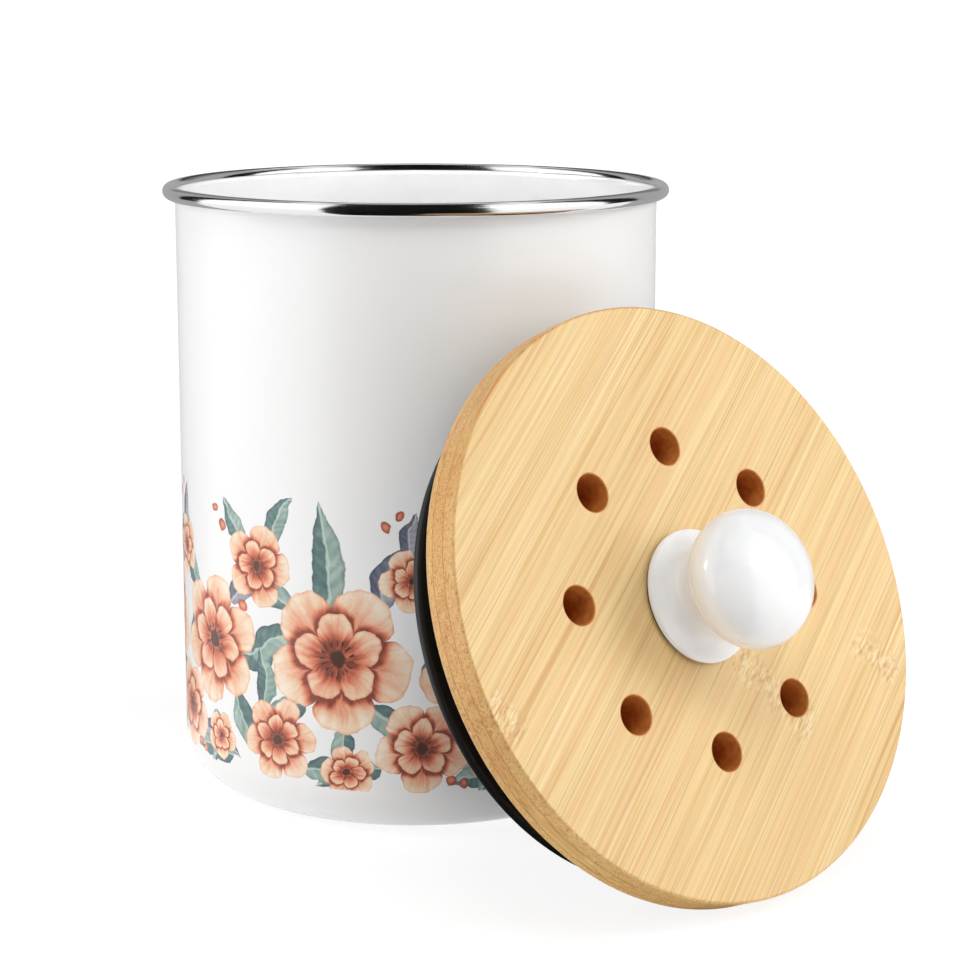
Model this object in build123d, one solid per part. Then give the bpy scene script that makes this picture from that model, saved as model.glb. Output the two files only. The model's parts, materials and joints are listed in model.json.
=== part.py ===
from build123d import *
from math import acos, atan2, cos, degrees, hypot, radians, sin
import os

# Countertop compost caddy: a white enamelled steel canister with a polished rim band, and its
# bamboo lid taken off and leant against the canister's wall. The lid carries a ceramic knob and,
# behind the board, a plastic filter housing with a silicone seal, a charcoal filter and a grille
# cover that turns to unlock.
# Millimetres and degrees, +Z up. The origin is the centre of the canister's flat foot.

# Canister shell
body_radius = 80.0
canister_height = 202.8
wall = 1.0
foot_corner_radius = 19.0
flange_bend = 1.2

# Rim band, a strip rolled into a tube that grips the shell's flange
bead_radius = 2.3
band_thickness = 0.4
band_seam_angle = 2.5

# Lid board, three bamboo plies glued face to face
lid_overhang = 6.9
ply_thickness = 4.8
face_edge_round = 1.0
back_edge_round = 3.0

# Vent holes, over the window of the filter housing
vent_count = 8
vent_radius = 5.8
vent_margin = 3.5
vent_edge_round = 0.4
vent_start_angle = -6.6

# Knob
knob_flange_radius = 20.5
knob_flange_edge = 2.4
knob_waist_radius = 13.4
knob_waist_height = 9.5
knob_ball_radius = 21.0
knob_ball_half_height = 14.8
knob_ball_height = 24.0
neck_meets_ball_angle = -42.0
ball_steps = 6
knob_pad_thickness = 0.8
knob_pad_inset = 1.0

# Knob insert, screw and washer
insert_radius = 4.0
insert_length = 15.0
insert_depth = 1.0
insert_clearance = 0.1
knob_screw_radius = 2.0
knob_screw_length = 25.0
knob_screw_head_radius = 4.0
knob_screw_head_height = 2.7
knob_screw_head_round = 1.2
knob_screw_clearance = 0.25
thread_clearance = 0.05
washer_radius = 6.0
washer_thickness = 1.0
counterbore_clearance = 1.2

# Filter housing, screwed to the back of the board
housing_gap = 2.7
housing_depth = 20.6
housing_wall = 2.4
housing_groove_depth = 3.1
housing_flange_thickness = 3.0
housing_flange_width = 14.8
rear_rim_inset = 1.5
rear_rim_thickness = 1.2
rear_rim_chamfer = 0.8

# Housing screws
housing_screw_count = 4
housing_screw_inset = 5.8
housing_screw_start_angle = 45.0
housing_screw_radius = 1.5
housing_screw_length = 11.5
housing_screw_head_radius = 3.0
housing_screw_head_height = 1.8
housing_screw_tip = 2.0
housing_screw_clearance = 0.2
pilot_clearance = 0.02

# Crossed driver recesses in the screw heads
recess_width_share = 0.25
recess_length_share = 1.25
recess_depth_share = 0.6

# Silicone seal in the groove of the housing, larger than the canister's mouth by the squeeze
seal_squeeze = 2.0
seal_lip_thickness = 3.2
seal_lip_round = 0.8
seal_root_width = 5.0
seal_clearance = 0.1

# Charcoal filter
filter_side_clearance = 0.5
filter_face_clearance = 0.3

# Grille cover and its three bayonet lugs
cover_clearance = 0.3
cover_plate_thickness = 2.0
cover_skirt_thickness = 2.0
cover_rib_height = 3.5
cover_rib_thickness = 1.6
cover_rib_insets = (48.5, 24.5)
slot_row_insets = (40.5, 30.5, 18.5, 8.5)
slot_counts = (6, 8, 10, 12)
slot_width = 4.0
slot_bar = 5.0
lug_count = 3
lug_angle = 12.0
lug_reach = 1.2
lug_height = 1.6
lug_ledge = 1.9
cover_turn = 25.0
grip_margin = 8.0
grip_thickness = 6.0
grip_height = 5.0
grip_round = 1.5

# How the lid stands against the canister
lid_tilt = 23.6
lid_facing = 42.2
lid_bearing = 36.2
lean_gap = 0.3
floor_gap = 0.3

# Heights and radii that several pieces share. On the lid, Z is measured from the board's back
# face towards the knob, so that what hangs behind the board has a negative height.
bead_z = canister_height - bead_radius
bead_centre_radius = body_radius - wall / 2 + bead_radius
mouth_radius = body_radius - wall
lid_radius = bead_centre_radius + bead_radius + lid_overhang
board_thickness = 3 * ply_thickness
back_round = min(back_edge_round, 0.9 * ply_thickness)
face_round = min(face_edge_round, 0.9 * ply_thickness)
lip_round = min(seal_lip_round, 0.45 * seal_lip_thickness)
counterbore_floor = ply_thickness
knob_hole_radius = knob_screw_radius + knob_screw_clearance
knob_foot = board_thickness + knob_pad_thickness
insert_bottom = knob_foot + insert_depth
insert_top = insert_bottom + insert_length
screw_head_seat = counterbore_floor - washer_thickness
housing_radius = mouth_radius - housing_gap
groove_floor_radius = housing_radius - housing_groove_depth
housing_bore_radius = groove_floor_radius - housing_wall
housing_window_radius = housing_bore_radius - housing_flange_width
housing_screw_circle_radius = housing_bore_radius - housing_screw_inset
vent_circle_radius = housing_window_radius - vent_radius - vent_margin
rear_rim_radius = housing_radius - rear_rim_inset
housing_rear = -housing_depth
flange_rear = -housing_flange_thickness
groove_rear = housing_rear + rear_rim_thickness
seal_root_rear = groove_rear + seal_clearance
groove_front = seal_root_rear + seal_root_width + seal_clearance
seal_lip_rear = seal_root_rear + (seal_root_width - seal_lip_thickness) / 2
seal_radius = mouth_radius + seal_squeeze
cover_radius = housing_bore_radius - cover_clearance
slot_row_radii = [cover_radius - inset for inset in slot_row_insets]
cover_rib_radii = [cover_radius - inset for inset in cover_rib_insets]
grip_length = 2 * (slot_row_radii[0] - slot_width / 2 - grip_margin)
plate_front = housing_rear + cover_plate_thickness
rib_front = plate_front + cover_rib_height
filter_front = flange_rear - filter_face_clearance
filter_rear = rib_front + cover_clearance
lug_rear = housing_rear + lug_ledge + cover_clearance
lug_front = lug_rear + lug_height


def spun(section):
    """Turn a section drawn on the XZ plane, where x is the radius, all the way round Z."""
    return revolve(section, axis=Axis.Z, revolution_arc=360)


def disc(radius, bottom, top):
    standing = (Align.CENTER, Align.CENTER, Align.MIN)
    return Pos(0, 0, bottom) * Cylinder(radius, top - bottom, align=standing)


def ring(inner_radius, outer_radius, bottom, top):
    return disc(outer_radius, bottom, top) - disc(inner_radius, bottom, top)


def sector(inner_radius, outer_radius, bottom, top, start_angle, sweep):
    """Part of a ring, from the start angle through the sweep."""
    middle = Pos((inner_radius + outer_radius) / 2, (bottom + top) / 2)
    section = Plane.XZ * middle * Rectangle(outer_radius - inner_radius, top - bottom)
    return Rot(0, 0, start_angle) * revolve(section, axis=Axis.Z, revolution_arc=sweep)


def on_circle(count, radius, start_angle):
    """Places evenly spaced round Z."""
    pitch = 360 / count
    return [Rot(0, 0, start_angle + pitch * index) * Pos(radius, 0, 0) for index in range(count)]


def circles_of(edges, radius):
    """The circular edges of this radius."""
    return edges.filter_by(GeomType.CIRCLE).filter_by(lambda edge: abs(edge.radius - radius) < 0.01)


def crossed_recess(head_radius, head_height, face):
    """Cutter for a crossed driver recess that opens downwards at this height."""
    length = recess_length_share * head_radius
    width = recess_width_share * head_radius
    depth = recess_depth_share * head_height
    arm = Pos(0, 0, face + depth / 2) * Box(length, width, depth)
    return arm + Rot(0, 0, 90) * arm


# Canister


def canister():
    """Drawn steel cup: flat foot, rounded corner, straight wall and a flange bent outwards."""
    foot_radius = body_radius - foot_corner_radius
    corner = (foot_radius, foot_corner_radius)
    flange_bottom = bead_z - wall / 2
    flange_top = flange_bottom + wall
    flange_tip = bead_centre_radius + bead_radius / 2
    bend = (body_radius + flange_bend, flange_bottom - flange_bend)

    with BuildSketch(Plane.XZ) as section:
        with BuildLine():
            Line((0, 0), (foot_radius, 0))
            CenterArc(corner, foot_corner_radius, 270, 90)
            Line((body_radius, foot_corner_radius), (body_radius, bend[1]))
            CenterArc(bend, flange_bend, 90, 90)
            Line((bend[0], flange_bottom), (flange_tip, flange_bottom))
            Line((flange_tip, flange_bottom), (flange_tip, flange_top))
            Line((flange_tip, flange_top), (bend[0], flange_top))
            CenterArc(bend, flange_bend + wall, 90, 90)
            Line((body_radius - wall, bend[1]), (body_radius - wall, foot_corner_radius))
            CenterArc(corner, foot_corner_radius - wall, 270, 90)
            Polyline((foot_radius, wall), (0, wall), (0, 0))
        make_face()
    return spun(section.sketch)


def rim_band():
    """Polished strip rolled into an open tube, its two edges closed on the shell's shoulder."""
    tube_inside = bead_radius - band_thickness
    shoulder_radius = flange_bend + wall
    across = body_radius + flange_bend - bead_centre_radius
    down = -wall / 2 - flange_bend
    apart = hypot(across, down)

    # The upper edge stops where the tube's inside meets the shoulder
    towards_shoulder = degrees(atan2(down, across)) % 360
    meeting = degrees(acos((tube_inside**2 + apart**2 - shoulder_radius**2) / (2 * tube_inside * apart)))
    upper_edge = towards_shoulder - meeting - band_seam_angle

    # The lower edge stops beside the wall
    lower_edge = 180 + degrees(acos((bead_centre_radius - body_radius) / bead_radius)) + band_seam_angle
    sweep = upper_edge + 360 - lower_edge

    centre = (bead_centre_radius, bead_z)
    with BuildSketch(Plane.XZ) as section:
        with BuildLine():
            outside = CenterArc(centre, bead_radius, lower_edge, sweep)
            inside = CenterArc(centre, tube_inside, lower_edge, sweep)
            Line(outside @ 0, inside @ 0)
            Line(outside @ 1, inside @ 1)
        make_face()
    return spun(section.sketch)


# Lid board


def board_ply(index, centre_hole_radius):
    """One bamboo ply, counted from the back, with its vents, centre hole and pilot holes."""
    bottom = index * ply_thickness
    ply = ring(centre_hole_radius, lid_radius, bottom, bottom + ply_thickness)
    for place in on_circle(vent_count, vent_circle_radius, vent_start_angle):
        ply -= place * disc(vent_radius, bottom, bottom + ply_thickness)
    pilot_end = min(flange_rear + housing_screw_length + pilot_clearance, bottom + ply_thickness)
    if pilot_end > bottom:
        for place in on_circle(housing_screw_count, housing_screw_circle_radius, housing_screw_start_angle):
            ply -= place * disc(housing_screw_radius + pilot_clearance, bottom, pilot_end)
    return ply


def rounded(ply, side, edge_round):
    """Round the board's rim and the vents' mouths on one face: side 0 is the back, -1 the front."""
    ply = fillet(circles_of(ply.edges().group_by(Axis.Z)[side], lid_radius), edge_round)
    return fillet(circles_of(ply.edges().group_by(Axis.Z)[side], vent_radius), vent_edge_round)


def board_back_ply():
    """Bored wide in the middle, so that the knob's screw head and washer lie inside it."""
    ply = board_ply(0, washer_radius + counterbore_clearance)
    return rounded(ply, 0, back_round)


def board_core_ply():
    return board_ply(1, knob_hole_radius)


def board_face_ply():
    return rounded(board_ply(2, knob_hole_radius), -1, face_round)


# Knob and what holds it


def knob():
    """Glazed ceramic knob: a flared foot, a narrow waist and a flattened ball."""
    edge_round = knob_flange_edge / 2
    flange_end = knob_flange_radius - edge_round
    flare_start = (flange_end, knob_foot + knob_flange_edge)
    waist = (knob_waist_radius, board_thickness + knob_waist_height)
    ball_middle = board_thickness + knob_ball_height
    ball_top = ball_middle + knob_ball_half_height
    bore = insert_radius + insert_clearance

    ball_outline = []
    for step in range(ball_steps + 1):
        angle = radians(neck_meets_ball_angle + (90 - neck_meets_ball_angle) * step / ball_steps)
        ball_outline.append((knob_ball_radius * cos(angle), ball_middle + knob_ball_half_height * sin(angle)))
    ball_outline[-1] = (0, ball_top)
    neck_end = ball_outline[0]
    meeting = radians(neck_meets_ball_angle)
    neck_way = (-knob_ball_radius * sin(meeting), knob_ball_half_height * cos(meeting))

    with BuildSketch(Plane.XZ) as section:
        with BuildLine():
            Polyline((0, ball_top), (0, insert_top), (bore, insert_top), (bore, knob_foot))
            Line((bore, knob_foot), (flange_end, knob_foot))
            CenterArc((flange_end, knob_foot + edge_round), edge_round, 270, 180)
            Spline(flare_start, waist, neck_end, tangents=((-1, 0.3), neck_way))
            Spline(*ball_outline, tangents=(neck_way, (-1, 0)))
        make_face()
    return spun(section.sketch)


def knob_pad():
    """Thin rubber washer between the knob's foot and the bamboo."""
    return ring(knob_hole_radius, knob_flange_radius - knob_pad_inset, board_thickness, knob_foot)


def knob_insert():
    """Threaded brass sleeve cemented into the knob; the thread is left out."""
    return ring(knob_screw_radius + thread_clearance, insert_radius, insert_bottom, insert_top)


def knob_screw():
    """Pan head machine screw from behind the board up into the insert."""
    head_rear = screw_head_seat - knob_screw_head_height
    head = disc(knob_screw_head_radius, head_rear, screw_head_seat)
    head = fillet(head.edges().group_by(Axis.Z)[0], min(knob_screw_head_round, 0.8 * knob_screw_head_height))
    head -= crossed_recess(knob_screw_head_radius, knob_screw_head_height, head_rear)
    return head + disc(knob_screw_radius, screw_head_seat, screw_head_seat + knob_screw_length)


def knob_washer():
    return ring(knob_hole_radius, washer_radius, screw_head_seat, counterbore_floor)


# Filter housing and its screws


def countersunk_screw(extra):
    """Countersunk screw with its head flush behind the flange, grown by the extra radius."""
    neck = flange_rear + housing_screw_head_height
    tip = flange_rear + housing_screw_length
    with BuildSketch(Plane.XZ) as section:
        with BuildLine():
            Polyline(
                (0, flange_rear),
                (housing_screw_head_radius + extra, flange_rear),
                (housing_screw_radius + extra, neck),
                (housing_screw_radius + extra, tip - housing_screw_tip),
                (0, tip),
                close=True,
            )
        make_face()
    return spun(section.sketch)


def housing_screws():
    """The screws that hold the housing's flange to the board, as separate solids."""
    screw = countersunk_screw(0)
    screw -= crossed_recess(housing_screw_head_radius, housing_screw_head_height, flange_rear)
    places = on_circle(housing_screw_count, housing_screw_circle_radius, housing_screw_start_angle)
    return Compound([place * screw for place in places])


def lug_start_angles():
    return [360 / lug_count * index for index in range(lug_count)]


def filter_housing():
    """Moulded ring with a mounting flange, a groove for the seal and slots for the cover's lugs."""
    with BuildSketch(Plane.XZ) as section:
        with BuildLine():
            Polyline(
                (housing_window_radius, 0),
                (housing_radius, 0),
                (housing_radius, groove_front),
                (groove_floor_radius, groove_front),
                (groove_floor_radius, groove_rear),
                (rear_rim_radius, groove_rear),
                (rear_rim_radius, housing_rear + rear_rim_chamfer),
                (rear_rim_radius - rear_rim_chamfer, housing_rear),
                (housing_bore_radius, housing_rear),
                (housing_bore_radius, flange_rear),
                (housing_window_radius, flange_rear),
                close=True,
            )
        make_face()
    body = spun(section.sketch)

    clearance_hole = countersunk_screw(housing_screw_clearance)
    for place in on_circle(housing_screw_count, housing_screw_circle_radius, housing_screw_start_angle):
        body -= place * clearance_hole

    # Each lug's way: round from its locked place, then out through the rear
    side = degrees(cover_clearance / cover_radius)
    slot_outside = cover_radius + lug_reach + cover_clearance
    slot_rear = lug_rear - cover_clearance
    slot_front = lug_front + cover_clearance
    width = lug_angle + 2 * side
    for start in lug_start_angles():
        locked = start - side
        exit_angle = locked - cover_turn
        body -= sector(cover_radius, slot_outside, slot_rear, slot_front, exit_angle, width + cover_turn)
        body -= sector(cover_radius, slot_outside, housing_rear, slot_front, exit_angle, width)
    return body


# Seal, filter and cover


def seal():
    """Silicone ring: a root that fills the groove and a round-edged lip that wipes the wall."""
    inside = groove_floor_radius + seal_clearance
    root = ring(inside, housing_radius, seal_root_rear, seal_root_rear + seal_root_width)
    lip = ring(inside, seal_radius, seal_lip_rear, seal_lip_rear + seal_lip_thickness)
    lip = fillet(circles_of(lip.edges(), seal_radius), lip_round)
    return root + lip


def charcoal_filter():
    return disc(housing_bore_radius - filter_side_clearance, filter_rear, filter_front)


def filter_cover():
    """Grille with a skirt, two ribs that hold the filter off the plate, three lugs and a finger grip."""
    cover = disc(cover_radius, housing_rear, plate_front)
    for radius, count in zip(slot_row_radii, slot_counts):
        sweep = 360 / count - degrees(slot_bar / radius)
        inner, outer = radius - slot_width / 2, radius + slot_width / 2
        for index in range(count):
            cover -= sector(inner, outer, housing_rear, plate_front, 360 / count * index, sweep)
    cover += ring(cover_radius - cover_skirt_thickness, cover_radius, plate_front, rib_front)
    for radius in cover_rib_radii:
        half = cover_rib_thickness / 2
        cover += ring(radius - half, radius + half, plate_front, rib_front)
    inside = cover_radius - cover_skirt_thickness / 2
    for start in lug_start_angles():
        cover += sector(inside, cover_radius + lug_reach, lug_rear, lug_front, start, lug_angle)
    grip = Pos(0, 0, housing_rear - grip_height / 2) * Box(grip_length, grip_thickness, grip_height)
    edge_round = min(grip_round, 0.45 * grip_thickness, 0.9 * grip_height)
    grip = fillet(grip.edges().filter_by(Axis.Z), edge_round)
    grip = fillet(grip.edges().group_by(Axis.Z)[0], edge_round)
    return cover + grip


# How the lid stands


def lid_frame(distance, height):
    """The lid's frame: its origin is the centre of the board's back face, its Z leads to the knob."""
    origin = (distance * sin(radians(lid_bearing)), -distance * cos(radians(lid_bearing)), height)
    across = (cos(radians(lid_facing)), sin(radians(lid_facing)), 0)
    outwards = (
        sin(radians(lid_facing)) * cos(radians(lid_tilt)),
        -cos(radians(lid_facing)) * cos(radians(lid_tilt)),
        sin(radians(lid_tilt)),
    )
    return Plane(origin=origin, x_dir=across, z_dir=outwards)


def canister_reach(height):
    """How far out the canister stands from its axis at this height."""
    if abs(height - bead_z) < bead_radius + lean_gap:
        return bead_centre_radius + bead_radius
    return body_radius if height < bead_z else 0


def lean_room(frame):
    """The least room between the canister and the round edges behind the lid."""
    edges = (
        (seal_radius - lip_round, seal_lip_rear + lip_round, lip_round),
        (rear_rim_radius, housing_rear + rear_rim_chamfer, 0),
        (rear_rim_radius - rear_rim_chamfer, housing_rear, 0),
        (lid_radius - back_round, back_round, back_round),
    )
    room = []
    for radius, height, edge_round in edges:
        for angle in range(0, 360):
            local = Vector(radius * cos(radians(angle)), radius * sin(radians(angle)), height)
            point = frame.from_local_coords(local)
            room.append(hypot(point.X, point.Y) - edge_round - canister_reach(point.Z))
    return min(room)


def leaning_lid():
    """Stand the lid's lower edge on the floor and bring it in until it all but touches the canister."""
    tilt = radians(lid_tilt)
    edge_radius = lid_radius - back_round
    height = floor_gap + edge_radius * cos(tilt) - back_round * sin(tilt) + back_round
    near, far = 0, 2 * (body_radius + lid_radius)
    while far - near > lean_gap / 1000:
        middle = (near + far) / 2
        if lean_room(lid_frame(middle, height)) > lean_gap:
            far = middle
        else:
            near = middle
    return lid_frame(far, height)


# Build and write every piece

on_the_floor = {"canister": canister(), "rim_band": rim_band()}
on_the_lid = {
    "board_back_ply": board_back_ply(),
    "board_core_ply": board_core_ply(),
    "board_face_ply": board_face_ply(),
    "knob": knob(),
    "knob_pad": knob_pad(),
    "knob_insert": knob_insert(),
    "knob_screw": knob_screw(),
    "knob_washer": knob_washer(),
    "filter_housing": filter_housing(),
    "housing_screws": housing_screws(),
    "seal": seal(),
    "charcoal_filter": charcoal_filter(),
    "filter_cover": filter_cover(),
}

lid = leaning_lid()
os.makedirs("parts", exist_ok=True)
for name, piece in on_the_floor.items():
    export_step(piece, f"parts/{name}.step")
for name, piece in on_the_lid.items():
    export_step(lid.location * piece, f"parts/{name}.step")

print("lid origin", [round(value, 4) for value in lid.origin])
print("lid axis", [round(value, 6) for value in lid.z_dir])
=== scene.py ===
import json
from math import acos, atan2, cos, degrees, hypot, pi, radians, sin

import bmesh
import bpy
from mathutils import Matrix, Vector


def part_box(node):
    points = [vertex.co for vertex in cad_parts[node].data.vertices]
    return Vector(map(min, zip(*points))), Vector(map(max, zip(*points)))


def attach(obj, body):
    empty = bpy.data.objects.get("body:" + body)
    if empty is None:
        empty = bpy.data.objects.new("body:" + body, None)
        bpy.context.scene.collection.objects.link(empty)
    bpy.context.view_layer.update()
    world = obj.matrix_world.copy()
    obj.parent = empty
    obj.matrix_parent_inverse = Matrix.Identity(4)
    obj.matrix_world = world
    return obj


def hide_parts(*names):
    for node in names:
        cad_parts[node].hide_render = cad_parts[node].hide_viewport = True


# A compost caddy for the kitchen counter: a white enamelled canister with a polished rim, and its
# bamboo lid leant against it. Metres, +Z up; the origin is the middle of the canister's flat foot.

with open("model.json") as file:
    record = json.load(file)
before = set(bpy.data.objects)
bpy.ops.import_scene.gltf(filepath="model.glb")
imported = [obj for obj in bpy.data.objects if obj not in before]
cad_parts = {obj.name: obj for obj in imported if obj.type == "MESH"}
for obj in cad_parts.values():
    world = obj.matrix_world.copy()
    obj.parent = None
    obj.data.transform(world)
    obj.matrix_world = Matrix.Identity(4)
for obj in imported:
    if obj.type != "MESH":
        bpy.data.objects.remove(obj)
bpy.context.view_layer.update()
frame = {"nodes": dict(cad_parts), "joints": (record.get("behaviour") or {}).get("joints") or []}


# Canister
# A deep drawn steel cup, coated inside and out with white vitreous enamel. Its mouth is flanged
# outwards for the rim band, and a floral print is fired onto the lower wall.

body_radius = 0.0800
shell_wall = 0.0010
foot_corner_radius = 0.0190
flange_bend = 0.0012
bead_radius = 0.0023
rim_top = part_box("rim_band")[1].z
bead_height = rim_top - bead_radius
bead_centre_radius = body_radius - shell_wall / 2 + bead_radius
print_repeats = 5
print_pitch = 2 * pi * body_radius / print_repeats
print_foot = 0.0160
waver_depth = 0.0036
touching = 1e-6


def between(start, end, steps):
    """Evenly spaced values from start to end."""
    return [start + (end - start) * step / steps for step in range(steps + 1)]


def arc(centre, radius, start, end, steps):
    """Points along an arc, from one angle in degrees to another."""
    angles = [radians(angle) for angle in between(start, end, steps)]
    return [(centre[0] + radius * cos(angle), centre[1] + radius * sin(angle)) for angle in angles]


def put(name, data):
    """Put a new object in the scene."""
    piece = bpy.data.objects.new(name, data)
    bpy.context.scene.collection.objects.link(piece)
    return piece


def shown(name, mesh, body, slot, *stands_for, sharp=40):
    """Put a finished mesh in the scene, on its body, in place of the nodes it stands for; its slot
    is not used.
    """
    piece = put(name, mesh)
    mesh.shade_smooth()
    mesh.set_sharp_from_angle(angle=radians(sharp))
    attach(piece, body)
    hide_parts(*stands_for)
    return piece


def turned(name, outline, material, closed=False, place=None, sides=256):
    """A mesh of this outline of radii and heights, turned all the way round."""
    form = bmesh.new()
    rings = []
    for radius, height in outline:
        count = sides if radius > touching else 1
        turns = [2 * pi * index / sides for index in range(count)]
        spots = [(radius * cos(turn), radius * sin(turn), height) for turn in turns]
        rings.append([form.verts.new(spot) for spot in spots])
    for low, high in zip(rings, rings[1:] + rings[:1] if closed else rings[1:]):
        for index in range(sides):
            after = (index + 1) % sides
            corners = [low[index % len(low)], low[after % len(low)]]
            corners += [high[after % len(high)], high[index % len(high)]]
            if len(set(corners)) > 2:
                form.faces.new(dict.fromkeys(corners))
    bmesh.ops.remove_doubles(form, verts=form.verts, dist=touching)
    bmesh.ops.recalc_face_normals(form, faces=form.faces)
    mesh = bpy.data.meshes.new(name)
    form.to_mesh(mesh)
    form.free()
    mesh.materials.append(material)
    mesh.transform(place or Matrix.Identity(4))
    return mesh


def colour(red, green, blue):
    """A colour given as it looks on a screen, from 0 to 255, in the values that a shader takes."""
    linear = []
    for value in (red, green, blue):
        share = value / 255
        linear.append(share / 12.92 if share < 0.04045 else ((share + 0.055) / 1.055) ** 2.4)
    return (*linear, 1)


def tree_of(*values):
    """The node tree that the first socket among these values is in."""
    return next(value.id_data for value in values if isinstance(value, bpy.types.NodeSocket))


def feed(socket, value):
    """Set a socket, or link it to the socket that feeds it."""
    if isinstance(value, bpy.types.NodeSocket):
        socket.id_data.links.new(value, socket)
    else:
        socket.default_value = value


def supply(target, inputs):
    """Feed a node's inputs, by name or number."""
    for name, value in inputs.items():
        feed(target.inputs[name], value)


def node(tree, kind, inputs=None, **settings):
    """Add a node; each input takes a value or the socket that feeds it."""
    added = tree.nodes.new(kind if kind.startswith("GeometryNode") else "ShaderNode" + kind)
    for name, value in settings.items():
        setattr(added, name, value)
    supply(added, inputs or {})
    return added


def maths(operation, *values, kind="Math"):
    added = node(tree_of(*values), kind, operation=operation)
    for socket, value in zip(added.inputs, values):
        feed(socket, value)
    return added.outputs[0]


def times(first, second):
    return maths("MULTIPLY", first, second)


def minus(first, second):
    return maths("SUBTRACT", first, second)


def times_plus(first, second, third):
    return maths("MULTIPLY_ADD", first, second, third)


def plus(*values):
    total = values[0]
    for value in values[1:]:
        total = maths("ADD", total, value)
    return total


def distance(across, up):
    """How far a point lies from the middle, from its two parts."""
    return maths("SQRT", times_plus(across, across, times(up, up)))


def parts(vector):
    return node(vector.id_data, "SeparateXYZ", {0: vector}).outputs


def vector_of(*values):
    return node(tree_of(*values), "CombineXYZ", dict(enumerate(values))).outputs[0]


def fade(value, low, high, start=0, end=1):
    """The value's way from low to high, as a soft step from start to end."""
    inputs = {"Value": value, 1: low, 2: high, 3: start, 4: end}
    return node(value.id_data, "MapRange", inputs, interpolation_type="SMOOTHSTEP").outputs[0]


def over(share, first, second, way="MIX"):
    """The first colour with a share of the second laid over it."""
    inputs = {0: share, 6: first, 7: second}
    tree = tree_of(share, first, second)
    return node(tree, "Mix", inputs, data_type="RGBA", blend_type=way).outputs[2]


def tones(value, *stops):
    """A run of colours, each stop a place from 0 to 1 and its red, green and blue."""
    ramp = node(value.id_data, "ValToRGB", {"Fac": value})
    ends = ramp.color_ramp.elements
    for end, (place, *shade) in ((ends[0], stops[0]), (ends[1], stops[-1])):
        end.position, end.color = place, colour(*shade)
    for place, *shade in stops[1:-1]:
        ends.new(place).color = colour(*shade)
    return ramp.outputs["Color"]


def noise(vector, scale, detail=2, roughness=0.5):
    inputs = {"Vector": vector, "Scale": scale, "Detail": detail, "Roughness": roughness}
    return node(vector.id_data, "TexNoise", inputs).outputs["Fac"]


def numbers(*titles):
    return dict.fromkeys(titles, "Float")


def shared(name, inputs, outputs, kind="ShaderNodeTree"):
    """A node group with these named sockets: its tree, what it is given, what it gives out."""
    tree = bpy.data.node_groups.new(name, kind)
    for direction, sockets in (("INPUT", inputs), ("OUTPUT", outputs)):
        for title, sort in sockets.items():
            tree.interface.new_socket(title, in_out=direction, socket_type="NodeSocket" + sort)
    return tree, tree.nodes.new("NodeGroupInput").outputs, tree.nodes.new("NodeGroupOutput").inputs


def placed(group, **inputs):
    """A shared group in the tree of its first socket, with these inputs: what it gives out."""
    return node(tree_of(*inputs.values()), "Group", inputs, node_tree=group).outputs


def finish(name):
    """A new material: itself, its surface shader and a point in the piece's own coordinates."""
    material = bpy.data.materials.new(name)
    material.use_nodes = True
    tree = material.node_tree
    here = node(tree, "TexCoord").outputs["Object"]
    return material, tree.nodes["Principled BSDF"], here


def bumped(surface, height, depth, strength=1.0):
    inputs = {"Height": height, "Distance": depth, "Strength": strength}
    feed(surface.inputs["Normal"], node(height.id_data, "Bump", inputs).outputs[0])


# A slow ripple and a fine one, as on a fired or moulded skin
ripple, given, made = shared("ripple", {"Vector": "Vector"} | numbers("Size"), numbers("Height"))
slow = noise(given["Vector"], maths("DIVIDE", 1, given["Size"]), 1)
fine = noise(given["Vector"], maths("DIVIDE", 5, given["Size"]), 3)
feed(made["Height"], times_plus(fine, 0.2, slow))

# Faint smears from handling and drying, which break up the gloss
smear_in = {"Vector": "Vector"} | numbers("Low", "High")
smears, given, made = shared("smears", smear_in, numbers("Roughness"))
smear = noise(given["Vector"], 22, 5, 0.62)
inputs = {"Value": smear, 1: 0.35, 2: 0.7, 3: given["Low"], 4: given["High"]}
feed(made["Roughness"], node(smears, "MapRange", inputs).outputs[0])


# Each motif takes a point on the flattened wall (across, up, how much of it is printed yet) and the
# colour there, and hands both on with itself painted over them.
motif_in = {"Flat": "Vector", "Under": "Color"} | numbers("Across", "Up", "Turn", "Blots")
motif_out = {"Flat": "Vector", "Color": "Color"}


def from_middle(given):
    """How far across and up a point lies from a motif; across is wrapped, so no motif is cut."""
    flat = parts(given["Flat"])
    along = minus(flat[0], given["Across"])
    across = maths("WRAP", along, print_pitch / 2, -print_pitch / 2)
    return across, minus(flat[1], given["Up"])


def painted_over(given, made, mask, shade):
    """Hand on the point, with this motif's share added to its mask, and the colour."""
    flat = parts(given["Flat"])
    both = maths("MAXIMUM", flat[2], mask)
    feed(made["Flat"], vector_of(flat[0], flat[1], both))
    feed(made["Color"], over(mask, given["Under"], shade))


petal_colours = (
    (0.0, 251, 236, 216),
    (0.25, 246, 208, 176),
    (0.5, 237, 166, 134),
    (0.75, 216, 116, 88),
    (1.0, 142, 76, 62),
)
leaf_colours = (
    (0.0, 190, 207, 197),
    (0.3, 143, 168, 160),
    (0.6, 101, 130, 129),
    (1.0, 66, 82, 92),
)
slate_colours = (
    (0.0, 196, 196, 200),
    (0.35, 140, 144, 158),
    (0.7, 97, 104, 124),
    (1.0, 70, 76, 84),
)


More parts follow.
